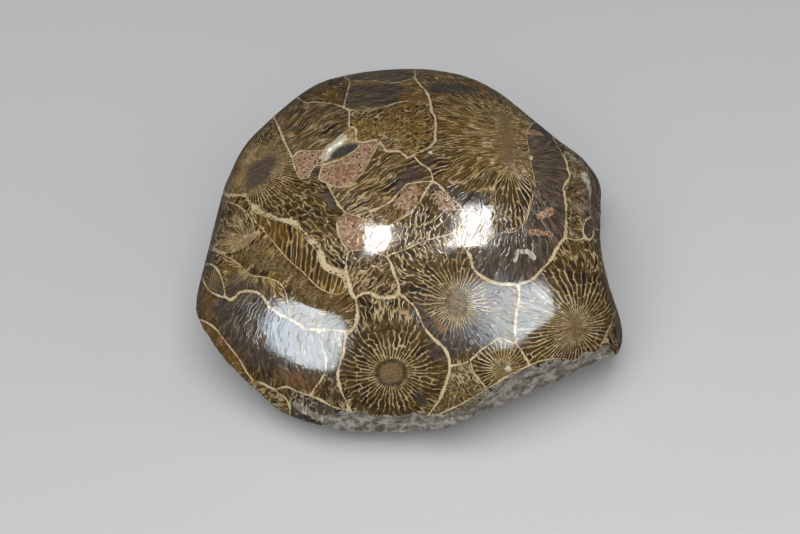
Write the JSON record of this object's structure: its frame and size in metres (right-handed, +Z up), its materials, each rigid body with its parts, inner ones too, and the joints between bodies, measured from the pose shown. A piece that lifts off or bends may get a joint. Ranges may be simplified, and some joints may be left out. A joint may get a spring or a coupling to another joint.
{
  "type": "fossil coral head",
  "caption": "Palm-sized piece of fossil colony coral, ground to a polished dome that shows its radiating corallites, with a broken rim, a rough underside and a flat resting face.",
  "frame": {"origin": "on the resting plane, below the middle of the stone's box", "axes": "+Z up from the resting face towards the crown, -Y towards the side with the large round corallite, +X to the right as seen from there"},
  "size_m": [0.0726, 0.0782, 0.0345],
  "materials": {
    "coral_stone": "polished above, rough where broken"
  },
  "bodies": {
    "root": {"coral_head": "coral_stone"}
  },
  "joints": []
}
